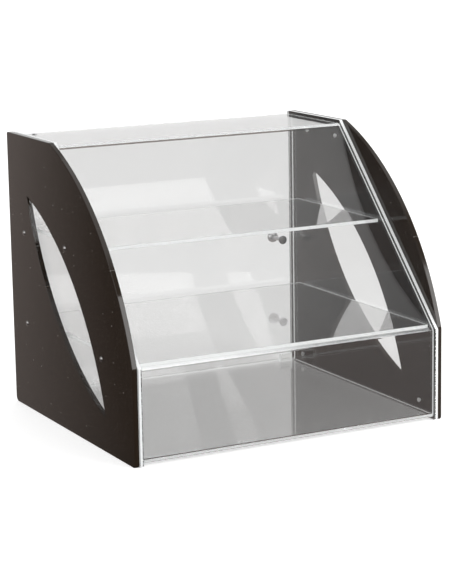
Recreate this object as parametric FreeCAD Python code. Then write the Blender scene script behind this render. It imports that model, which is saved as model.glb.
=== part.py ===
"""Countertop bakery display case: clear acrylic body, dark acrylic side panels, rear door.

Units are millimetres. +X is the right of the case seen from the front, the front faces -Y and
+Z is up. The origin is at the middle of the case's footprint, on the surface it stands on.
"""
import FreeCAD, Part
import math
import os

from FreeCAD import Vector

# ---- driving dimensions: the case ----
CASE_WIDTH = 477.0          # over the outer faces of the dark side panels
CASE_DEPTH = 413.0          # front edge to rear edge of a dark side panel
CASE_HEIGHT = 400.0
DARK_THICKNESS = 7.0        # dark side panels
CLEAR_THICKNESS = 5.0       # every clear sheet
ROOF_DEPTH = 157.0          # flat top edge of a side panel, from its rear edge forwards
KNEE_HEIGHT = 131.5         # top of the upright part of the front
FRONT_BULGE = 43.7          # rise of the curved front edge above its chord
CLEAR_PROUD = 2.0           # clear side sheets stand out in front of the upright dark edge
SHEET_GAP = 0.3             # air film between a dark panel and the clear sheet screwed to it
CEMENT_LINE = 0.15          # thickness of a cemented joint between clear pieces
EDGE_RECESS = 3.5           # bent shell lies this far inside the edges of the clear side sheets
ROOF_RECESS = 5.0           # its roof lies lower still, below the top edges

# ---- corners and bends ----
REAR_FOOT_RADIUS = 8.0
FRONT_FOOT_RADIUS = 4.0
REAR_TOP_RADIUS = 3.0
ROOF_FRONT_RADIUS = 8.0
KNEE_RADIUS = 12.0
BEND_RADIUS = 1.2           # inside radius of the shell's hot bends
POLISHED_EDGE = 0.5         # chamfer along the edges of the dark panels
EASED_EDGE = 0.2            # chamfer along the edges of the loose clear sheets

# ---- leaf cut-out in the dark panels ----
LEAF_SETBACK = 122.7        # its chord, measured square from the chord of the front edge
LEAF_TIP_RADIUS = 1.5

# ---- shelves, their pins and sleeves ----
UPPER_SHELF_SIDE_GAP = 5.0  # shelf end to clear side sheet
LOWER_SHELF_SIDE_GAP = 2.8
SHELF_FRONT_GAP = 1.5       # shelf to the sloping front, level
SHELF_REAR_SETBACK = 40.5   # rear edge of a shelf, in front of the panels' rear edges
RAIL_WIDTH = 5.0            # clear rail under the front edge of the lower shelf
RAIL_HEIGHT = 3.0
RAIL_GAP = 0.15             # air film between the rail and the shelf
UPPER_PIN_HEIGHT = 259.0
LOWER_PIN_HEIGHT = 126.5
REAR_PIN_SETBACK = 54.0     # from the rear edge of the side panels
UPPER_FRONT_PIN_SETBACK = 201.0
LOWER_FRONT_PIN_SETBACK = 314.5
PIN_SHANK_RADIUS = 2.0
PIN_HEAD_RADIUS = 4.0
PIN_HEAD_HEIGHT = 1.8
SLEEVE_RADIUS = 3.0
SLEEVE_LENGTH = 9.0
SLEEVE_BORE_STOP = 1.5      # closed end of the sleeve beyond the shank
HOLE_CLEARANCE = 0.15       # radial, round the pins and screws that pass through a sheet

# ---- screws between dark panel and clear side sheet ----
TOP_SCREW_HEIGHT = 374.0
BOTTOM_SCREW_HEIGHT = 21.0
TOP_SCREW_SETBACKS = (60.0, 142.5)
BOTTOM_SCREW_SETBACKS = (40.0, 371.5)
SCREW_RADIUS = 2.0
SCREW_HEAD_RADIUS = 3.5
SCREW_HEAD_HEIGHT = 2.2
SCREW_BITE = 5.0            # length held in the dark panel
SOCKET_WIDTH = 2.5          # across the flats of the hexagon socket
SOCKET_DEPTH = 1.3

# ---- rear door ----
DOOR_SETBACK = 13.0         # outer face of the door, in front of the panels' rear edges
DOOR_SIDE_GAP = 1.0
DOOR_END_GAP = 1.5
PIVOT_INSET = 24.5          # hinge axis to the left clear side sheet
HINGE_PIN_RADIUS = 1.5
HINGE_RUNNING_FIT = 0.05    # radial clearance in the door, the roof and the floor
HINGE_PIN_REACH = 12.0      # length of a pin inside the door
HINGE_BORE_DEPTH = 13.0
HINGE_HEAD_RADIUS = 3.0
HINGE_HEAD_HEIGHT = 1.0
HINGE_WASHER_RADIUS = 3.5
HINGE_WASHER_HEIGHT = 1.2
STOP_LENGTH = 20.0          # clear block that the closed door rests against
STOP_WIDTH = 6.0
STOP_HEIGHT = 12.0
STOP_END_GAP = 10.0         # to the right clear side sheet
STOP_FACE_GAP = 0.3

# ---- knob and its screw ----
KNOB_INSET = 21.0           # knob axis to the right clear side sheet
KNOB_HEIGHT = 199.5
KNOB_BALL_RADIUS = 8.25
KNOB_BALL_REACH = 29.0      # door face to the ball's centre
KNOB_COLLAR_RADIUS = 5.0
KNOB_COLLAR_LENGTH = 2.5
KNOB_CONE_LENGTH = 4.0
KNOB_STEM_RADIUS = 3.0
KNOB_THREAD_DEPTH = 8.0
KNOB_SCREW_RADIUS = 2.0
KNOB_SCREW_HEAD_RADIUS = 4.8
KNOB_SCREW_HEAD_HEIGHT = 2.8
KNOB_HOLE_CLEARANCE = 0.2
KNOB_WASHER_RADIUS = 6.6
KNOB_WASHER_THICKNESS = 1.0

# ---- places that follow from the driving dimensions ----
KNOB_OVERHANG = KNOB_BALL_REACH + KNOB_BALL_RADIUS - DOOR_SETBACK
OVERALL_DEPTH = CLEAR_PROUD + CASE_DEPTH + KNOB_OVERHANG
REAR_Y = OVERALL_DEPTH / 2.0 - KNOB_OVERHANG
FRONT_Y = REAR_Y - CASE_DEPTH
CLEAR_FRONT_Y = FRONT_Y - CLEAR_PROUD
ROOF_FRONT_Y = REAR_Y - ROOF_DEPTH
DARK_OUTER_X = CASE_WIDTH / 2.0
CLEAR_OUTER_X = DARK_OUTER_X - DARK_THICKNESS - SHEET_GAP
INNER_X = CLEAR_OUTER_X - CLEAR_THICKNESS
SHELL_INSET = EDGE_RECESS + CLEAR_THICKNESS
FLOOR_Z = SHELL_INSET
ROOF_TOP_Z = CASE_HEIGHT - ROOF_RECESS
CEILING_Z = ROOF_TOP_Z - CLEAR_THICKNESS
DOOR_OUTER_Y = REAR_Y - DOOR_SETBACK
DOOR_INNER_Y = DOOR_OUTER_Y - CLEAR_THICKNESS
DOOR_BOTTOM_Z = FLOOR_Z + DOOR_END_GAP
DOOR_TOP_Z = CEILING_Z - DOOR_END_GAP
PIVOT_X = PIVOT_INSET - INNER_X
PIVOT_Y = DOOR_OUTER_Y - CLEAR_THICKNESS / 2.0
KNOB_X = INNER_X - KNOB_INSET
SHELF_REAR_Y = REAR_Y - SHELF_REAR_SETBACK

SIDES = {"left": -1.0, "right": 1.0}
UPPER_PIN_SETBACKS = (REAR_PIN_SETBACK, UPPER_FRONT_PIN_SETBACK)
LOWER_PIN_SETBACKS = (REAR_PIN_SETBACK, LOWER_FRONT_PIN_SETBACK)
TIERS = {
    "upper": (UPPER_PIN_HEIGHT, UPPER_PIN_SETBACKS),
    "lower": (LOWER_PIN_HEIGHT, LOWER_PIN_SETBACKS),
}
SHELF_SIDE_GAPS = {"upper": UPPER_SHELF_SIDE_GAP, "lower": LOWER_SHELF_SIDE_GAP}

# The slope of the clear front: from the front of the roof down to the knee.
SLOPE_TOP = Vector(0, ROOF_FRONT_Y, CASE_HEIGHT)
SLOPE_FOOT = Vector(0, CLEAR_FRONT_Y, KNEE_HEIGHT)
X_AXIS = Vector(1, 0, 0)
Y_AXIS = Vector(0, 1, 0)
Z_AXIS = Vector(0, 0, 1)


# ---- helpers ----
def extrude_profile(edges, low_x, high_x):
    """Solid from a closed profile in the YZ plane, between two X planes."""
    face = Part.Face(Part.Wire(edges))
    solid = face.extrude(Vector(high_x - low_x, 0, 0))
    solid.translate(Vector(low_x, 0, 0))
    return solid


def polygon_edges(corners):
    """Straight edges through corners (y, z), closed."""
    points = [Vector(0, y, z) for y, z in corners]
    return [Part.LineSegment(a, b).toShape() for a, b in zip(points, points[1:] + points[:1])]


def block(low, high):
    """Box between two corner points."""
    size = [b - a for a, b in zip(low, high)]
    return Part.makeBox(size[0], size[1], size[2], Vector(*low))


def rod(radius, start, direction, length):
    """Round bar from start along direction."""
    return Part.makeCylinder(radius, length, start, direction)


def dome(radius, height, base, direction):
    """Spherical cap of the given foot radius and height that stands on base."""
    ball_radius = (radius ** 2 + height ** 2) / (2.0 * height)
    half_sweep = math.asin(radius / ball_radius) / 2.0
    rim, crown, foot = Vector(radius, 0, 0), Vector(0, 0, height), Vector(0, 0, 0)
    middle_z = height - ball_radius + ball_radius * math.cos(half_sweep)
    middle = Vector(ball_radius * math.sin(half_sweep), 0, middle_z)
    edges = [
        Part.Arc(rim, middle, crown).toShape(),
        Part.LineSegment(crown, foot).toShape(),
        Part.LineSegment(foot, rim).toShape(),
    ]
    cap = Part.Face(Part.Wire(edges)).revolve(foot, Z_AXIS, 360)
    cap.Placement = FreeCAD.Placement(base, FreeCAD.Rotation(Z_AXIS, direction))
    return cap


def hexagon_socket(width, depth, mouth, direction):
    """Hexagonal hole to cut from a screw head; direction points into the head."""
    corner_radius = width / math.sqrt(3.0)
    corners = []
    for step in range(7):
        angle = math.radians(60.0 * step)
        corners.append(Vector(corner_radius * math.cos(angle), corner_radius * math.sin(angle), 0))
    prism = Part.Face(Part.makePolygon(corners)).extrude(Vector(0, 0, depth))
    prism.Placement = FreeCAD.Placement(mouth, FreeCAD.Rotation(Z_AXIS, direction))
    return prism


def button_screw(base, direction, head_radius, head_height, shank_radius, shank_length):
    """Socket button screw: the head's foot is at base, and direction points along the shank."""
    head = dome(head_radius, head_height, base, -direction)
    mouth = base - direction * head_height
    head = head.cut(hexagon_socket(SOCKET_WIDTH, SOCKET_DEPTH, mouth, direction))
    return head.fuse(rod(shank_radius, base, direction, shank_length))


def edges_along_x(solid, places):
    """The solid's edges that run along X through the given (y, z) corners."""
    found = []
    for edge in solid.Edges:
        if len(edge.Vertexes) != 2:
            continue
        first, last = edge.Vertexes[0].Point, edge.Vertexes[1].Point
        if abs((last - first).normalize().dot(X_AXIS)) < 0.999:
            continue
        for y, z in places:
            if math.hypot(first.y - y, first.z - z) < 0.01:
                found.append(edge)
    return found


def face_outline(solid, plane_x):
    """Edges of the solid that lie in one X plane."""
    return [e for e in solid.Edges if all(abs(v.Point.x - plane_x) < 0.001 for v in e.Vertexes)]


def slope_vectors():
    """Unit vectors down the slope and square out of it, to the front and up."""
    down = (SLOPE_FOOT - SLOPE_TOP).normalize()
    out = Vector(0, down.z, -down.y)
    return down, out


def slope_z(y, inset):
    """Height at depth y of the slope moved inwards by inset."""
    down, out = slope_vectors()
    start = SLOPE_TOP - out * inset
    return start.z + down.z * (y - start.y) / down.y


def slope_y(z, inset):
    """Depth at height z of the slope moved inwards by inset."""
    down, out = slope_vectors()
    start = SLOPE_TOP - out * inset
    return start.y + down.y * (z - start.z) / down.z


# ---- dark side panels ----
def bulged_arc(start, end, rise, outwards):
    """Arc between two points that rises from its chord towards outwards."""
    middle = (start + end) * 0.5 + outwards * rise
    return Part.Arc(start, middle, end).toShape()


def front_chord():
    """Ends of the curved front edge, and the direction it bulges in."""
    top = Vector(0, ROOF_FRONT_Y, CASE_HEIGHT)
    knee = Vector(0, FRONT_Y, KNEE_HEIGHT)
    down = (knee - top).normalize()
    return top, knee, Vector(0, down.z, -down.y)


def leaf_cutter(low_x, high_x):
    """Leaf shape bounded by two arcs that repeat the curve of the front edge."""
    top, knee, outwards = front_chord()
    tip_high = top - outwards * LEAF_SETBACK
    tip_low = knee - outwards * LEAF_SETBACK
    front_arc = bulged_arc(tip_high, tip_low, FRONT_BULGE, outwards)
    rear_arc = bulged_arc(tip_low, tip_high, FRONT_BULGE, outwards * -1.0)
    leaf = extrude_profile([front_arc, rear_arc], low_x, high_x)
    tips = [(p.y, p.z) for p in (tip_high, tip_low)]
    return leaf.makeFillet(LEAF_TIP_RADIUS, edges_along_x(leaf, tips))


def panel_profile():
    """Outline of a dark side panel."""
    top, knee, outwards = front_chord()
    corners = [Vector(0, FRONT_Y, 0), Vector(0, REAR_Y, 0), Vector(0, REAR_Y, CASE_HEIGHT), top]
    edges = [Part.LineSegment(a, b).toShape() for a, b in zip(corners, corners[1:])]
    edges.append(bulged_arc(top, knee, FRONT_BULGE, outwards))
    edges.append(Part.LineSegment(knee, corners[0]).toShape())
    return edges


def cross_holes(setbacks, height, radius, low_x, high_x):
    """Cutters along X at the given setbacks from the rear edge."""
    starts = [Vector(low_x, REAR_Y - setback, height) for setback in setbacks]
    return [rod(radius, start, X_AXIS, high_x - low_x) for start in starts]


def pin_holes(low_x, high_x):
    """Cutters for the four shelf pins of one side."""
    radius = PIN_SHANK_RADIUS + HOLE_CLEARANCE
    holes = []
    for height, setbacks in TIERS.values():
        holes += cross_holes(setbacks, height, radius, low_x, high_x)
    return holes


def screw_holes(radius, low_x, high_x):
    """Cutters for the four joining screws of one side."""
    top = cross_holes(TOP_SCREW_SETBACKS, TOP_SCREW_HEIGHT, radius, low_x, high_x)
    bottom = cross_holes(BOTTOM_SCREW_SETBACKS, BOTTOM_SCREW_HEIGHT, radius, low_x, high_x)
    return top + bottom


def x_span(side, outer, inner):
    """Low and high X of a layer on one side of the case."""
    return sorted((side * outer, side * inner))


def side_panel(side):
    """Dark acrylic panel with the curved front, leaf cut-out and blind screw holes."""
    low_x, high_x = x_span(side, DARK_OUTER_X, DARK_OUTER_X - DARK_THICKNESS)
    panel = extrude_profile(panel_profile(), low_x, high_x)
    corner_radii = {
        (FRONT_Y, 0.0): FRONT_FOOT_RADIUS,
        (REAR_Y, 0.0): REAR_FOOT_RADIUS,
        (REAR_Y, CASE_HEIGHT): REAR_TOP_RADIUS,
        (ROOF_FRONT_Y, CASE_HEIGHT): ROOF_FRONT_RADIUS,
        (FRONT_Y, KNEE_HEIGHT): KNEE_RADIUS,
    }
    for corner, radius in corner_radii.items():
        panel = panel.makeFillet(radius, edges_along_x(panel, [corner]))
    panel = panel.cut(leaf_cutter(low_x, high_x))
    outline = face_outline(panel, low_x) + face_outline(panel, high_x)
    panel = panel.makeChamfer(POLISHED_EDGE, outline)
    blind_low, blind_high = x_span(
        side, DARK_OUTER_X - DARK_THICKNESS + SCREW_BITE, DARK_OUTER_X - DARK_THICKNESS
    )
    blind_holes = screw_holes(SCREW_RADIUS, blind_low, blind_high)
    return panel.cut(pin_holes(low_x, high_x) + blind_holes)


# ---- clear sheets ----
def clear_side(side):
    """Clear side sheet with a straight sloping front, drilled for pins and screws."""
    low_x, high_x = x_span(side, CLEAR_OUTER_X, INNER_X)
    corners = [
        (CLEAR_FRONT_Y, 0.0),
        (REAR_Y, 0.0),
        (REAR_Y, CASE_HEIGHT),
        (ROOF_FRONT_Y, CASE_HEIGHT),
        (CLEAR_FRONT_Y, KNEE_HEIGHT),
    ]
    sheet = extrude_profile(polygon_edges(corners), low_x, high_x)
    corner_radii = zip(corners[:3], (FRONT_FOOT_RADIUS, REAR_FOOT_RADIUS, REAR_TOP_RADIUS))
    for corner, radius in corner_radii:
        sheet = sheet.makeFillet(radius, edges_along_x(sheet, [corner]))
    outline = face_outline(sheet, low_x) + face_outline(sheet, high_x)
    sheet = sheet.makeChamfer(EASED_EDGE, outline)
    through_holes = screw_holes(SCREW_RADIUS + HOLE_CLEARANCE, low_x, high_x)
    return sheet.cut(pin_holes(low_x, high_x) + through_holes)


def shell_corners(inset, roof_z):
    """Corners of the shell's outer or inner face, from the rear of the roof to the rear of the floor."""
    front = CLEAR_FRONT_Y + inset
    return [
        (REAR_Y, roof_z),
        (slope_y(roof_z, inset), roof_z),
        (front, slope_z(front, inset)),
        (front, inset),
        (REAR_Y, inset),
    ]


def clear_shell():
    """One clear sheet bent into roof, sloping front, upright front and floor."""
    outer = shell_corners(EDGE_RECESS, ROOF_TOP_Z)
    inner = shell_corners(SHELL_INSET, CEILING_Z)
    low_x, high_x = -INNER_X + CEMENT_LINE, INNER_X - CEMENT_LINE
    shell = extrude_profile(polygon_edges(outer + inner[::-1]), low_x, high_x)
    shell = shell.makeFillet(BEND_RADIUS, edges_along_x(shell, inner[1:4]))
    outer_radius = BEND_RADIUS + CLEAR_THICKNESS
    shell = shell.makeFillet(outer_radius, edges_along_x(shell, outer[1:4]))
    pin_start = Vector(PIVOT_X, PIVOT_Y, 0)
    hole_radius = HINGE_PIN_RADIUS + HINGE_RUNNING_FIT
    return shell.cut(rod(hole_radius, pin_start, Z_AXIS, CASE_HEIGHT))


def shelf_seat(tier):
    """Height of a shelf's underside, and the depth of its front edge."""
    bottom = TIERS[tier][0] + SLEEVE_RADIUS
    front = slope_y(bottom + CLEAR_THICKNESS, SHELL_INSET) + SHELF_FRONT_GAP
    return bottom, front


def shelf(tier):
    """Clear shelf that rests on four sleeves; its front edge follows the sloping front."""
    bottom, front = shelf_seat(tier)
    half = INNER_X - SHELF_SIDE_GAPS[tier]
    sheet = block((-half, front, bottom), (half, SHELF_REAR_Y, bottom + CLEAR_THICKNESS))
    return sheet.makeChamfer(EASED_EDGE, sheet.Edges)


def front_rail():
    """Clear rail between the side sheets, under the front edge of the lower shelf."""
    bottom, front = shelf_seat("lower")
    half = INNER_X - CEMENT_LINE
    top = bottom - RAIL_GAP
    rail = block((-half, front, top - RAIL_HEIGHT), (half, front + RAIL_WIDTH, top))
    return rail.makeChamfer(EASED_EDGE, rail.Edges)


def rear_door():
    """Full-width clear door, bored at both ends for the hinge pins and drilled for the knob."""
    half = INNER_X - DOOR_SIDE_GAP
    low = (-half, DOOR_INNER_Y, DOOR_BOTTOM_Z)
    high = (half, DOOR_OUTER_Y, DOOR_TOP_Z)
    door = block(low, high)
    door = door.makeChamfer(EASED_EDGE, door.Edges)
    bore = HINGE_PIN_RADIUS + HINGE_RUNNING_FIT
    lower_bore = rod(bore, Vector(PIVOT_X, PIVOT_Y, DOOR_BOTTOM_Z), Z_AXIS, HINGE_BORE_DEPTH)
    upper_bore = rod(bore, Vector(PIVOT_X, PIVOT_Y, DOOR_TOP_Z), -Z_AXIS, HINGE_BORE_DEPTH)
    hole_start = Vector(KNOB_X, DOOR_INNER_Y, KNOB_HEIGHT)
    hole_radius = KNOB_SCREW_RADIUS + KNOB_HOLE_CLEARANCE
    knob_hole = rod(hole_radius, hole_start, Y_AXIS, CLEAR_THICKNESS)
    return door.cut([lower_bore, upper_bore, knob_hole])


def door_stop():
    """Clear block cemented to the floor, just inside the closed door."""
    right = INNER_X - STOP_END_GAP
    rear = DOOR_INNER_Y - STOP_FACE_GAP
    foot = FLOOR_Z + CEMENT_LINE
    low = (right - STOP_LENGTH, rear - STOP_WIDTH, foot)
    stop = block(low, (right, rear, foot + STOP_HEIGHT))
    return stop.makeChamfer(EASED_EDGE, stop.Edges)


# ---- hinge ----
def hinge_pin(end):
    """Headed pivot pin through the roof or the floor into the edge of the door."""
    if end == "top":
        head_z, inwards, door_end = ROOF_TOP_Z, -Z_AXIS, DOOR_TOP_Z
    else:
        head_z, inwards, door_end = EDGE_RECESS, Z_AXIS, DOOR_BOTTOM_Z
    seat = Vector(PIVOT_X, PIVOT_Y, head_z)
    shank_length = abs(door_end - head_z) + HINGE_PIN_REACH
    shank = rod(HINGE_PIN_RADIUS, seat, inwards, shank_length)
    return shank.fuse(rod(HINGE_HEAD_RADIUS, seat, -inwards, HINGE_HEAD_HEIGHT))


def hinge_washer(end):
    """Plastic washer that spaces the door from the roof or the floor."""
    foot_z, direction = (CEILING_Z, -Z_AXIS) if end == "top" else (FLOOR_Z, Z_AXIS)
    foot = Vector(PIVOT_X, PIVOT_Y, foot_z)
    disc = rod(HINGE_WASHER_RADIUS, foot, direction, HINGE_WASHER_HEIGHT)
    return disc.cut(rod(HINGE_PIN_RADIUS, foot, direction, HINGE_WASHER_HEIGHT))


# ---- knob ----
def door_knob():
    """Ball knob with a stem, a cone and a collar, tapped from the door side."""
    axis = Vector(KNOB_X, DOOR_OUTER_Y, KNOB_HEIGHT)
    collar = rod(KNOB_COLLAR_RADIUS, axis, Y_AXIS, KNOB_COLLAR_LENGTH)
    cone_foot = axis + Y_AXIS * KNOB_COLLAR_LENGTH
    cone = Part.makeCone(KNOB_COLLAR_RADIUS, KNOB_STEM_RADIUS, KNOB_CONE_LENGTH, cone_foot, Y_AXIS)
    stem = rod(KNOB_STEM_RADIUS, axis, Y_AXIS, KNOB_BALL_REACH)
    ball = Part.makeSphere(KNOB_BALL_RADIUS, axis + Y_AXIS * KNOB_BALL_REACH)
    knob = collar.fuse([cone, stem, ball]).removeSplitter()
    return knob.cut(rod(KNOB_SCREW_RADIUS, axis, Y_AXIS, KNOB_THREAD_DEPTH))


def knob_washer():
    """Flat washer between the screw head and the door."""
    foot = Vector(KNOB_X, DOOR_INNER_Y, KNOB_HEIGHT)
    disc = rod(KNOB_WASHER_RADIUS, foot, -Y_AXIS, KNOB_WASHER_THICKNESS)
    return disc.cut(rod(KNOB_SCREW_RADIUS, foot, -Y_AXIS, KNOB_WASHER_THICKNESS))


def knob_screw():
    """Button screw from inside the case into the knob."""
    base = Vector(KNOB_X, DOOR_INNER_Y - KNOB_WASHER_THICKNESS, KNOB_HEIGHT)
    length = KNOB_WASHER_THICKNESS + CLEAR_THICKNESS + KNOB_THREAD_DEPTH
    return button_screw(
        base, Y_AXIS, KNOB_SCREW_HEAD_RADIUS, KNOB_SCREW_HEAD_HEIGHT, KNOB_SCREW_RADIUS, length
    )


# ---- pins, sleeves and screws of the sides ----
def shelf_pins(tier, side):
    """Dome-headed pins of one shelf on one side, from the outside to inside the sleeves."""
    height, setbacks = TIERS[tier]
    inwards = X_AXIS * -side
    length = DARK_OUTER_X - INNER_X + SLEEVE_LENGTH - SLEEVE_BORE_STOP
    pins = []
    for setback in setbacks:
        seat = Vector(side * DARK_OUTER_X, REAR_Y - setback, height)
        head = dome(PIN_HEAD_RADIUS, PIN_HEAD_HEIGHT, seat, -inwards)
        pins.append(head.fuse(rod(PIN_SHANK_RADIUS, seat, inwards, length)))
    return Part.makeCompound(pins)


def shelf_sleeves(tier, side):
    """Screwed sleeves on the inner ends of the pins, which carry the shelf."""
    height, setbacks = TIERS[tier]
    inwards = X_AXIS * -side
    sleeves = []
    for setback in setbacks:
        seat = Vector(side * INNER_X, REAR_Y - setback, height)
        sleeve = rod(SLEEVE_RADIUS, seat, inwards, SLEEVE_LENGTH)
        sleeve = sleeve.makeChamfer(EASED_EDGE, sleeve.Edges)
        bore = rod(PIN_SHANK_RADIUS, seat, inwards, SLEEVE_LENGTH - SLEEVE_BORE_STOP)
        sleeves.append(sleeve.cut(bore))
    return Part.makeCompound(sleeves)


def panel_screws(side):
    """Button screws from inside, through the clear sheet, into the dark panel."""
    outwards = X_AXIS * side
    length = CLEAR_THICKNESS + SHEET_GAP + SCREW_BITE
    seats = [(setback, TOP_SCREW_HEIGHT) for setback in TOP_SCREW_SETBACKS]
    seats += [(setback, BOTTOM_SCREW_HEIGHT) for setback in BOTTOM_SCREW_SETBACKS]
    screws = []
    for setback, height in seats:
        base = Vector(side * INNER_X, REAR_Y - setback, height)
        screws.append(
            button_screw(base, outwards, SCREW_HEAD_RADIUS, SCREW_HEAD_HEIGHT, SCREW_RADIUS, length)
        )
    return Part.makeCompound(screws)


def all_parts():
    """Every node of the case by name."""
    parts = {
        "clear_shell": clear_shell(),
        "rear_door": rear_door(),
        "front_rail": front_rail(),
        "door_stop": door_stop(),
        "door_knob": door_knob(),
        "knob_washer": knob_washer(),
        "knob_screw": knob_screw(),
    }
    for end in ("top", "bottom"):
        parts["hinge_pin_" + end] = hinge_pin(end)
        parts["hinge_washer_" + end] = hinge_washer(end)
    for name, side in SIDES.items():
        parts["side_panel_" + name] = side_panel(side)
        parts["clear_side_" + name] = clear_side(side)
        parts["panel_screws_" + name] = panel_screws(side)
    for tier in TIERS:
        parts[tier + "_shelf"] = shelf(tier)
        for name, side in SIDES.items():
            parts["shelf_pins_" + tier + "_" + name] = shelf_pins(tier, side)
            parts["shelf_sleeves_" + tier + "_" + name] = shelf_sleeves(tier, side)
    return parts


os.makedirs("parts", exist_ok=True)
for node, shape in all_parts().items():
    assert shape.isValid() and all(solid.isClosed() for solid in shape.Solids), node
    shape.exportStep("parts/" + node + ".step")
    box = shape.BoundBox
    print(
        f"{node:28s} solids {len(shape.Solids)}  volume {shape.Volume:11.1f}"
        f"  x {box.XMin:8.2f} {box.XMax:8.2f}  y {box.YMin:8.2f} {box.YMax:8.2f}"
        f"  z {box.ZMin:7.2f} {box.ZMax:7.2f}"
    )
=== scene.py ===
import math

import bpy
from mathutils import Matrix, Vector


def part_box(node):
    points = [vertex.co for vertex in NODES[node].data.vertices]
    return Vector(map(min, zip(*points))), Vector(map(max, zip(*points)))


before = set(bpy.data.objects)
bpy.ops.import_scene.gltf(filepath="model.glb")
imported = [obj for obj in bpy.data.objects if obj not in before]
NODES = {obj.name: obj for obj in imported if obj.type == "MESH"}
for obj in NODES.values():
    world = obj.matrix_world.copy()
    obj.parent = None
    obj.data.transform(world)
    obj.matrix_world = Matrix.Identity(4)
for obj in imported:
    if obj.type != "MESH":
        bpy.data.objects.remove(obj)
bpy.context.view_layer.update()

# ---- the case, in metres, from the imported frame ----
SHELL_LOW, SHELL_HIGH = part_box("clear_shell")
DOOR_LOW, DOOR_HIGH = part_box("rear_door")
SIDE_INNER_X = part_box("clear_side_right")[0].x
SHEET_THICKNESS = DOOR_HIGH.y - DOOR_LOW.y
ROOF_CREASE = 0.0021  # how far the painted shade in the hollow of a fold reaches from its hollow
FLOOR_CREASE = 0.0013
BUBBLE_ROW = 0.0016  # width of the row of bubbles, from the sheet's inner face
BUBBLES_PER_METRE = 520.0
SAW_MARKS_PER_METRE = 620.0
FINE_DUST = (0.0052, 0.0006, 0.4)  # cell, radius of a dot, share of the cells that have one
BIG_DUST = (0.031, 0.0009, 0.5)
FINE_DUST_STRENGTH = 0.4

# ---- camera ----
CAMERA_PLACE = Vector((-1.2809, -2.4870, 0.7433))
CAMERA_AZIMUTH = math.radians(-27.325)
CAMERA_ELEVATION = math.radians(11.291)
CAMERA_ROLL = math.radians(-0.989)
LENS_MM = 124.14
SENSOR_MM = 36.0
FRAME_SHIFT = (0.0078, -0.0099)

# ---- colours, linear ----
DARK_BROWN = (0.0165, 0.0105, 0.0065)
DUST = (0.55, 0.53, 0.50)
CLEAR = (0.893, 0.893, 0.891)
# painted shade in the hollow of the shell's bends
CREASE_SHADE = (0.045, 0.030, 0.024)
BUBBLE = (0.03, 0.028, 0.026)
CLEAREST = (0.965, 0.965, 0.963)
EDGE_WHITE = (0.92, 0.93, 0.93)
EDGE_GREY = (0.70, 0.72, 0.72)
EDGE_TRANSMISSION = 0.20
SATIN_TRANSMISSION = 0.65
# painted glow: the sheets' sawn edges emit light though they are no lamp; a pair runs from left to right
# over a span of x
SIDE_SPAN = (-0.2, 0.2)
SHELF_SPAN = (-0.1, 0.12)
RAIL_PAINTED_GLOW = (0.30, 0.02)
SIDE_PAINTED_GLOW = (0.09, 0.24)
SHELF_PAINTED_GLOW = (0.52, 0.42)
DOOR_PAINTED_GLOW = 0.45
SHELL_PAINTED_GLOW = 0.50
CHROME = (0.78, 0.79, 0.80)
# painted shade: a darkened copy of the chrome
SHADED_CHROME = (0.40, 0.39, 0.39)
STAINLESS = (0.62, 0.62, 0.63)
# painted highlight: a near-white copy of the steel
BRIGHTENED_STEEL = (0.96, 0.96, 0.96)
NYLON = (0.82, 0.82, 0.79)
FLOOR_WHITE = (0.74, 0.74, 0.738)
STUDIO_DIMNESS = (1.0, 0.88, 0.84)
ACRYLIC_IOR = 1.49

# ---- studio light ----
ROOM_LIGHT = 1.0
FLOOR_GLOW = 0.27
# ranges of a direction's x, y or z over which the backdrop, ceiling and window of reflections set in
BACKDROP = 0.68
BACKDROP_RISE = (0.3, 0.8)
BACKDROP_SIDES = (-0.35, 0.15, 0.05, 1.0)
OVERHEAD_RISE = (0.78, 0.85)
WINDOW_EDGE = (-0.85, -0.6)
OVERHEAD = (0.08, 1.0)
LEFT_WINDOW = 1.2
DIM_STUDIO = 0.12
THROUGH_SHEETS = 0.4
FLOOR_LIFT = 0.26
REFLECTED_SLANT = 0.42  # how the floor's fall-off in reflections leans, in x for each y
# the floor in reflections: from, to, and the glow at each, along the slanted direction
REFLECTED_DIM = (-0.33, -0.08, 0.07, 0.50)
REFLECTED_LIT = (0.0, 0.6, 0.0, 0.5)
# the floor behind the case: depths where the fall-off sets in, its reach in x, the change at each end
BEHIND_CASE = (0.3, 0.9)
WINDOW_REACH = (0.1, 1.5)
WINDOW_FALL = (-0.05, -0.08)
SOFTBOX_PLACE = (0.86, -1.61, 1.10)
SOFTBOX_WIDTH = 1.0
SOFTBOX_HEIGHT = 1.25
SOFTBOX_POWER = 15.5


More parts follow.
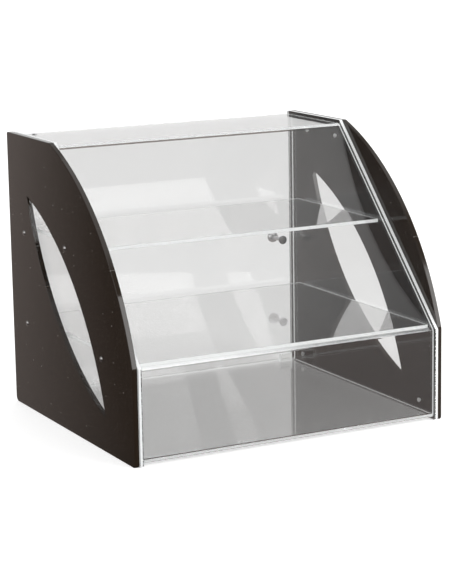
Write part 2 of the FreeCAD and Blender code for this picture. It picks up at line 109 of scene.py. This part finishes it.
class Nodes:
    """A node tree, with short calls that add and join nodes."""

    def __init__(self, tree):
        self.tree = tree

    def add(self, kind, **settings):
        node = self.tree.nodes.new(kind)
        for key, value in settings.items():
            setattr(node, key, value)
        return node

    def join(self, source, target):
        self.tree.links.new(source, target)

    def fill(self, socket, value):
        """Link a socket to another, or set its own value."""
        if isinstance(value, bpy.types.NodeSocket):
            self.join(value, socket)
        elif isinstance(value, tuple) and len(value) == 3 and socket.type == "RGBA":
            socket.default_value = (*value, 1.0)
        else:
            socket.default_value = value

    def math(self, operation, first, second=0.0, clamp=False):
        node = self.add("ShaderNodeMath", operation=operation, use_clamp=clamp)
        self.fill(node.inputs[0], first)
        self.fill(node.inputs[1], second)
        return node.outputs[0]

    def axes(self, source):
        node = self.add("ShaderNodeSeparateXYZ")
        self.join(source, node.inputs[0])
        return node.outputs

    def vector(self, x, y, z):
        node = self.add("ShaderNodeCombineXYZ")
        for socket, value in zip(node.inputs, (x, y, z)):
            self.fill(socket, value)
        return node.outputs[0]

    def spread(self, value, low, high, to_low, to_high):
        """Map a range of values to another, clamped."""
        node = self.add("ShaderNodeMapRange", clamp=True)
        for socket, number in zip(node.inputs, (value, low, high, to_low, to_high)):
            self.fill(socket, number)
        return node.outputs[0]

    def noise(self, place, scale, detail=2.0, roughness=0.5):
        node = self.add("ShaderNodeTexNoise")
        self.join(place, node.inputs["Vector"])
        node.inputs["Scale"].default_value = scale
        node.inputs["Detail"].default_value = detail
        node.inputs["Roughness"].default_value = roughness
        return node.outputs["Fac"]

    def mix_colour(self, share, first, second):
        node = self.add("ShaderNodeMix", data_type="RGBA")
        self.fill(node.inputs[0], share)
        self.fill(node.inputs[6], first)
        self.fill(node.inputs[7], second)
        return node.outputs[2]

    def mix_shader(self, share, first, second):
        node = self.add("ShaderNodeMixShader")
        self.fill(node.inputs[0], share)
        self.join(first, node.inputs[1])
        self.join(second, node.inputs[2])
        return node.outputs[0]

    def principled(self, **values):
        node = self.add("ShaderNodeBsdfPrincipled")
        for key, value in values.items():
            self.fill(node.inputs[key.replace("_", " ")], value)
        return node

    def bump(self, height, strength, distance):
        node = self.add("ShaderNodeBump")
        self.fill(node.inputs["Strength"], strength)
        self.fill(node.inputs["Distance"], distance)
        self.join(height, node.inputs["Height"])
        return node.outputs[0]


class MaterialNodes(Nodes):
    """The node tree of a new material, with its output and its coordinates."""

    def __init__(self, name):
        self.material = bpy.data.materials.new(name)
        self.material.use_nodes = True
        super().__init__(self.material.node_tree)
        self.tree.nodes.clear()
        self.output = self.add("ShaderNodeOutputMaterial")
        self.coords = self.add("ShaderNodeTexCoord")

    def finish(self, shader):
        self.join(shader, self.output.inputs["Surface"])
        return self.material


def specks(nodes, across, along, cell, radius, share):
    """Dust: soft dots on some of the cells of a flat grid with uneven centres, 0 to 1."""
    flat = nodes.vector(across, along, 0.0)
    cells = nodes.add("ShaderNodeTexVoronoi", voronoi_dimensions="2D", feature="F1")
    nodes.join(flat, cells.inputs["Vector"])
    cells.inputs["Scale"].default_value = 1.0 / cell
    dots = nodes.spread(cells.outputs["Distance"], 0.4 * radius / cell, radius / cell, 1.0, 0.0)
    chosen = nodes.axes(cells.outputs["Color"])[0]
    brightness = nodes.spread(chosen, 1.0 - share, 1.0, 0.0, 1.0)
    return nodes.math("MULTIPLY", dots, brightness)


def dark_acrylic():
    """Polished dark brown cast acrylic with a little dust, faint wiping marks and ripple."""
    nodes = MaterialNodes("dark_acrylic_polished")
    place = nodes.coords.outputs["Object"]
    y, z = nodes.axes(place)[1:]
    fine_dust = specks(nodes, y, z, *FINE_DUST)
    big_dust = specks(nodes, y, z, *BIG_DUST)
    dust = nodes.math("MAXIMUM", nodes.math("MULTIPLY", fine_dust, FINE_DUST_STRENGTH), big_dust)
    haze = nodes.noise(place, 7.0, 3.0)
    dust_share = nodes.math("MULTIPLY", dust, 0.55)
    colour = nodes.mix_colour(dust_share, DARK_BROWN, DUST)
    wiped = nodes.spread(haze, 0.35, 0.75, 0.035, 0.085)
    roughness = nodes.math("ADD", wiped, nodes.math("MULTIPLY", dust, 0.5))
    ripple = nodes.noise(place, 9.0, 1.0)
    shader = nodes.principled(Base_Color=colour, Roughness=roughness, IOR=ACRYLIC_IOR)
    nodes.join(nodes.bump(ripple, 0.05, 0.002), shader.inputs["Normal"])
    return nodes.finish(shader.outputs[0])


def edge_of_sheet(nodes, normal_axis):
    """1 on the sawn edges of a flat sheet whose faces look along the given axis, 0 on its faces."""
    facing = nodes.axes(nodes.coords.outputs["Normal"])[normal_axis]
    return nodes.math("LESS_THAN", nodes.math("ABSOLUTE", facing), 0.5)


def fold_depth(height):
    """Depth of the hollow of the bend that lies at a height on the inside of the shell."""
    inner = SHELL_HIGH.y - 0.05
    depths = [
        corner.co.y
        for corner in NODES["clear_shell"].data.vertices
        if abs(corner.co.z - height) < 0.0004 and corner.co.y < inner
    ]
    return sum(depths) / len(depths)


def shade_of_shell_folds(nodes):
    """Painted shade: 1 in the hollow of the bends under the roof's front and above the floor's front."""
    y, z = nodes.axes(nodes.coords.outputs["Object"])[1:]
    ceiling, floor = SHELL_HIGH.z - SHEET_THICKNESS, SHELL_LOW.z + SHEET_THICKNESS
    folds = []
    for height, reach in ((ceiling, ROOF_CREASE), (floor, FLOOR_CREASE)):
        off_y = nodes.math("ABSOLUTE", nodes.math("SUBTRACT", y, fold_depth(height)))
        off_z = nodes.math("ABSOLUTE", nodes.math("SUBTRACT", z, height))
        near = nodes.math("MAXIMUM", off_y, off_z)
        folds.append(nodes.math("LESS_THAN", near, reach))
    return nodes.math("MAXIMUM", *folds)


def rear_of_shell(nodes):
    """1 on the two rear edges of the bent shell."""
    depth = nodes.axes(nodes.coords.outputs["Object"])[1]
    return nodes.math("GREATER_THAN", depth, SHELL_HIGH.y - 0.0002)


def edge_of_shell(nodes):
    """1 on the two sawn ends and the two rear edges of the bent shell."""
    sideways = nodes.math("ABSOLUTE", nodes.axes(nodes.coords.outputs["Normal"])[0])
    ends = nodes.math("GREATER_THAN", sideways, 0.5)
    return nodes.math("MAXIMUM", ends, rear_of_shell(nodes))


def painted_glow_of_side(nodes):
    """Painted glow of the side sheets' edges: stronger on the right sheet than on the left one."""
    return nodes.spread(nodes.axes(nodes.coords.outputs["Object"])[0], *SIDE_SPAN, *SIDE_PAINTED_GLOW)


def bubbles_of_side(nodes):
    """1 on the row of dark bubbles in the cement, along the inner corner of the upright front edge."""
    place = nodes.axes(nodes.coords.outputs["Object"])
    off_inner_face = nodes.math("SUBTRACT", nodes.math("ABSOLUTE", place[0]), SIDE_INNER_X)
    beside = nodes.math("LESS_THAN", off_inner_face, BUBBLE_ROW)
    front = nodes.math("LESS_THAN", nodes.axes(nodes.coords.outputs["Normal"])[1], -0.9)
    pitch = nodes.add("ShaderNodeTexNoise", noise_dimensions="1D")
    nodes.join(place[2], pitch.inputs["W"])
    pitch.inputs["Scale"].default_value = BUBBLES_PER_METRE
    row = nodes.spread(pitch.outputs["Fac"], 0.40, 0.5, 0.0, 1.0)
    return nodes.math("MULTIPLY", nodes.math("MULTIPLY", beside, front), row)


def painted_glow_of_shelf(nodes):
    """Painted glow of a shelf's edge: a little stronger on its left half than on its right half."""
    return nodes.spread(nodes.axes(nodes.coords.outputs["Object"])[0], *SHELF_SPAN, *SHELF_PAINTED_GLOW)


def satin_acrylic():
    """Frosted clear acrylic with fine saw marks, half see-through, with a painted glow that is strong at
    the left end and faint at the right.
    """
    nodes = MaterialNodes("acrylic_frosted")
    place = nodes.coords.outputs["Object"]
    x, y, z = nodes.axes(place)
    marks = nodes.noise(nodes.vector(x, nodes.math("MULTIPLY", y, 0.2), z), 900.0, 2.0)
    marked = nodes.spread(marks, 0.35, 0.7, 0.0, 1.0)
    # painted glow: the rail emits light though it is no lamp, fading from left to right
    shader = nodes.principled(
        Base_Color=nodes.mix_colour(marked, EDGE_WHITE, EDGE_GREY),
        Roughness=nodes.spread(marked, 0.0, 1.0, 0.28, 0.42),
        IOR=ACRYLIC_IOR,
        Transmission_Weight=SATIN_TRANSMISSION,
        Emission_Color=EDGE_WHITE,
        Emission_Strength=nodes.spread(x, *SHELF_SPAN, *RAIL_PAINTED_GLOW),
    )
    return nodes.finish(shader.outputs[0])


def clear_acrylic(name, edge, glow, tint=CLEAR, crease_shade=None, bubbles=None):
    """Clear cast acrylic; edge builds the mask of its sawn edges, and glow is the strength of the painted
    glow that they emit.
    """
    nodes = MaterialNodes(name)
    place = nodes.coords.outputs["Object"]
    x, y, z = nodes.axes(place)
    sawn = edge(nodes)
    # painted glow: the sawn edges emit light though they are no lamp
    lit = nodes.math("MULTIPLY", sawn, glow(nodes) if callable(glow) else glow)
    # faces: clear, with faint smears that only show as gloss
    smears = nodes.noise(place, 11.0, 4.0, 0.6)
    face_roughness = nodes.spread(smears, 0.45, 0.8, 0.0, 0.03)
    # edges: satin, partly see-through, with fine saw marks; they also carry the painted glow
    sum_of_axes = nodes.math("ADD", nodes.math("ADD", x, y), z)
    marks = nodes.add("ShaderNodeTexNoise", noise_dimensions="1D")
    nodes.join(sum_of_axes, marks.inputs["W"])
    marks.inputs["Scale"].default_value = SAW_MARKS_PER_METRE
    marks.inputs["Detail"].default_value = 2.0
    marked = nodes.spread(marks.outputs["Fac"], 0.35, 0.7, 0.0, 1.0)
    edge_colour = nodes.mix_colour(marked, EDGE_WHITE, EDGE_GREY)
    if bubbles:
        edge_colour = nodes.mix_colour(bubbles(nodes), edge_colour, BUBBLE)
    edge_roughness = nodes.spread(marked, 0.0, 1.0, 0.12, 0.35)
    roughness = nodes.add("ShaderNodeMix", data_type="FLOAT")
    nodes.fill(roughness.inputs[0], sawn)
    nodes.fill(roughness.inputs[2], face_roughness)
    nodes.fill(roughness.inputs[3], edge_roughness)
    # painted shade: the hollow of the shell's bends turns dark brown
    face_colour = nodes.mix_colour(crease_shade(nodes), tint, CREASE_SHADE) if crease_shade else tint
    shader = nodes.principled(
        Base_Color=nodes.mix_colour(sawn, face_colour, edge_colour),
        Emission_Color=edge_colour,
        Emission_Strength=lit,
        Roughness=roughness.outputs[0],
        IOR=ACRYLIC_IOR,
        Transmission_Weight=nodes.spread(sawn, 0.0, 1.0, 1.0, EDGE_TRANSMISSION),
    )
    return nodes.finish(shader.outputs[0])


def polished_metal(name, colour, smooth, rough, metallic=1.0):
    """Bright metal with fine turning marks and soft stains."""
    nodes = MaterialNodes(name)
    place = nodes.coords.outputs["Object"]
    stains = nodes.noise(place, 160.0, 3.0)
    scratches = nodes.noise(place, 2600.0, 2.0)
    tint = nodes.mix_colour(nodes.spread(stains, 0.4, 0.8, 0.0, 0.35), colour, (0.5, 0.49, 0.48))
    roughness = nodes.spread(stains, 0.3, 0.8, smooth, rough)
    shader = nodes.principled(Base_Color=tint, Metallic=metallic, Roughness=roughness)
    nodes.join(nodes.bump(scratches, 0.04, 0.0002), shader.inputs["Normal"])
    return nodes.finish(shader.outputs[0])


def moulded_nylon():
    """Natural nylon: slightly see-through, with a fine moulded grain."""
    nodes = MaterialNodes("nylon_natural")
    place = nodes.coords.outputs["Object"]
    mottle = nodes.noise(place, 300.0, 3.0)
    colour = nodes.mix_colour(nodes.spread(mottle, 0.3, 0.7, 0.0, 0.4), NYLON, (0.70, 0.69, 0.64))
    shader = nodes.principled(Base_Color=colour, Roughness=0.42)
    nodes.join(nodes.bump(nodes.noise(place, 2200.0), 0.15, 0.0002), shader.inputs["Normal"])
    return nodes.finish(shader.outputs[0])


def dress(material, *names):
    """Give CAD nodes a finished material in every slot."""
    for name in names:
        mesh = NODES[name].data
        if not mesh.materials:
            mesh.materials.append(material)
        for slot in range(len(mesh.materials)):
            mesh.materials[slot] = material


def dress_case():
    sides = ("left", "right")
    tiers = ("upper", "lower")
    dress(dark_acrylic(), *["side_panel_" + side for side in sides])
    side_sheet = clear_acrylic(
        "clear_side_sheet", lambda n: edge_of_sheet(n, 0), painted_glow_of_side, CLEAREST, bubbles=bubbles_of_side
    )
    dress(side_sheet, *["clear_side_" + side for side in sides])
    shelf_sheet = clear_acrylic("clear_shelf_sheet", lambda n: edge_of_sheet(n, 2), painted_glow_of_shelf)
    dress(shelf_sheet, *[tier + "_shelf" for tier in tiers])
    upright_sheet = clear_acrylic("clear_upright_sheet", lambda n: edge_of_sheet(n, 1), DOOR_PAINTED_GLOW)
    dress(upright_sheet, "rear_door", "door_stop")
    shell = clear_acrylic("clear_bent_shell", edge_of_shell, SHELL_PAINTED_GLOW, crease_shade=shade_of_shell_folds)
    dress(shell, "clear_shell")
    dress(satin_acrylic(), "front_rail")
    chrome = polished_metal("chrome_plate", CHROME, 0.03, 0.10)
    dress(chrome, "knob_washer")
    # painted highlight: the knob is a brightened, less metallic copy of the chrome
    dress(polished_metal("brightened_ball", BRIGHTENED_STEEL, 0.05, 0.12, 0.6), "door_knob")
    # painted shade: the shelf pins and the knob's screw take a darkened copy of the chrome, standing in
    # for the dark they reflect
    shaded_chrome = polished_metal("shaded_chrome_plate", SHADED_CHROME, 0.02, 0.06)
    dress(shaded_chrome, "knob_screw", *[f"shelf_pins_{tier}_{side}" for tier in tiers for side in sides])
    steel = polished_metal("stainless_turned", STAINLESS, 0.12, 0.26)
    dress(steel, "hinge_pin_top", "hinge_pin_bottom")
    # painted highlight: the panel screws are near white and hardly metallic, standing in for the
    # highlights on their heads
    satin = polished_metal("stainless_brightened", BRIGHTENED_STEEL, 0.10, 0.20, 0.1)
    dress(satin, "panel_screws_left", "panel_screws_right")
    dress(steel, *[f"shelf_sleeves_{tier}_{side}" for tier in tiers for side in sides])
    dress(moulded_nylon(), "hinge_washer_top", "hinge_washer_bottom")


# ---- the studio ----
def reflected(nodes):
    """1 for light paths that have met a mirror-like surface, 0 for plain views; and the path node."""
    path = nodes.add("ShaderNodeLightPath")
    mirror = nodes.math("GREATER_THAN", path.outputs["Glossy Depth"], 0.5)
    matt = nodes.math("GREATER_THAN", path.outputs["Diffuse Depth"], 0.5)
    return nodes.math("SUBTRACT", mirror, matt, clamp=True), path


def make_floor():
    """Pale table. In reflections it falls away into the dim studio at the left."""
    nodes = MaterialNodes("studio_floor")
    place = nodes.coords.outputs["Object"]
    colour = nodes.mix_colour(
        nodes.noise(place, 0.6, 2.0), FLOOR_WHITE, tuple(0.985 * c for c in FLOOR_WHITE)
    )
    pale = nodes.principled(
        Base_Color=colour, Roughness=0.7, Emission_Color=(1.0, 1.0, 1.0)
    )
    x, y = nodes.axes(place)[:2]
    across = nodes.math("ADD", x, nodes.math("MULTIPLY", y, REFLECTED_SLANT))
    dim = nodes.spread(across, *REFLECTED_DIM)
    lit = nodes.spread(across, *REFLECTED_LIT)
    mirrored, path = reflected(nodes)
    lift = nodes.math("MULTIPLY", path.outputs["Is Camera Ray"], FLOOR_LIFT)
    # behind the case, the table is brighter near the window at the left than at the far side
    through = nodes.math("MINIMUM", path.outputs["Transmission Depth"], 1.0)
    through = nodes.math("SUBTRACT", through, path.outputs["Diffuse Depth"], clamp=True)
    fall = nodes.spread(x, *WINDOW_REACH, *WINDOW_FALL)
    fall = nodes.math("MULTIPLY", fall, nodes.spread(y, *BEHIND_CASE, 0.0, 1.0))
    lift = nodes.math("ADD", lift, nodes.math("MULTIPLY", through, fall))
    nodes.join(nodes.math("ADD", lift, FLOOR_GLOW), pale.inputs["Emission Strength"])
    veiled = nodes.spread(path.outputs["Transmission Depth"], 0.5, 1.0, 1.0, THROUGH_SHEETS)
    glow = nodes.add("ShaderNodeEmission")
    glow.inputs["Color"].default_value = (*STUDIO_DIMNESS, 1.0)
    nodes.join(nodes.math("MULTIPLY", nodes.math("ADD", dim, lit), veiled), glow.inputs["Strength"])
    material = nodes.finish(nodes.mix_shader(mirrored, pale.outputs[0], glow.outputs[0]))
    bpy.ops.mesh.primitive_plane_add(size=60.0, location=(0, 0, 0))
    floor = bpy.context.object
    floor.name = "studio_floor"
    floor.data.materials.append(material)


def make_world():
    """Even white light; reflections see a bright backdrop behind and a dim studio in front."""
    world = bpy.data.worlds.new("studio_world")
    bpy.context.scene.world = world
    world.use_nodes = True
    nodes = Nodes(world.node_tree)
    background = nodes.tree.nodes["Background"]
    coords = nodes.add("ShaderNodeTexCoord")
    x, y, z = nodes.axes(coords.outputs["Generated"])
    back = nodes.math(
        "MULTIPLY", nodes.spread(y, *BACKDROP_RISE, 0.0, BACKDROP), nodes.spread(x, *BACKDROP_SIDES)
    )
    overhead = nodes.spread(z, *OVERHEAD_RISE, *OVERHEAD)
    window = nodes.spread(x, *WINDOW_EDGE, LEFT_WINDOW, 0.0)
    sides = nodes.math("ADD", nodes.math("ADD", back, window), DIM_STUDIO)
    studio = nodes.math("ADD", sides, overhead)
    mirrored = reflected(nodes)[0]
    strength = nodes.add("ShaderNodeMix", data_type="FLOAT")
    nodes.fill(strength.inputs[0], mirrored)
    nodes.fill(strength.inputs[2], ROOM_LIGHT)
    nodes.fill(strength.inputs[3], studio)
    background.inputs["Color"].default_value = (1.0, 1.0, 1.0, 1.0)
    nodes.join(strength.outputs[0], background.inputs["Strength"])


def softbox(name, place, aim, width, height, power):
    lamp = bpy.data.lights.new(name, "AREA")
    lamp.shape = "RECTANGLE"
    lamp.size, lamp.size_y = width, height
    lamp.energy = power
    box = bpy.data.objects.new(name, lamp)
    bpy.context.collection.objects.link(box)
    box.location = place
    box.rotation_mode = "QUATERNION"
    box.rotation_quaternion = (Vector(aim) - Vector(place)).to_track_quat("-Z", "Y")


def make_camera():
    lens = bpy.data.cameras.new("camera")
    lens.lens, lens.sensor_width = LENS_MM, SENSOR_MM
    lens.shift_x, lens.shift_y = FRAME_SHIFT
    lens.clip_start, lens.clip_end = 0.05, 100.0
    camera = bpy.data.objects.new("camera", lens)
    bpy.context.collection.objects.link(camera)
    flat = math.cos(CAMERA_ELEVATION)
    back = Vector((
        math.sin(CAMERA_AZIMUTH) * flat,
        -math.cos(CAMERA_AZIMUTH) * flat,
        math.sin(CAMERA_ELEVATION),
    ))
    right = Vector((0, 0, 1)).cross(back).normalized()
    up = back.cross(right)
    c, s = math.cos(CAMERA_ROLL), math.sin(CAMERA_ROLL)
    rolled_right, rolled_up = c * right + s * up, c * up - s * right
    turn = Matrix((rolled_right, rolled_up, back)).transposed().to_4x4()
    camera.matrix_world = Matrix.Translation(CAMERA_PLACE) @ turn
    bpy.context.scene.camera = camera


def set_light_paths():
    scene = bpy.context.scene
    scene.view_settings.view_transform = "Standard"
    scene.cycles.max_bounces = 64
    scene.cycles.transmission_bounces = 48
    scene.cycles.transparent_max_bounces = 32
    scene.cycles.glossy_bounces = 48


dress_case()
make_floor()
make_world()
softbox("softbox", SOFTBOX_PLACE, (0, 0, 0.2), SOFTBOX_WIDTH, SOFTBOX_HEIGHT, SOFTBOX_POWER)
make_camera()
set_light_paths()
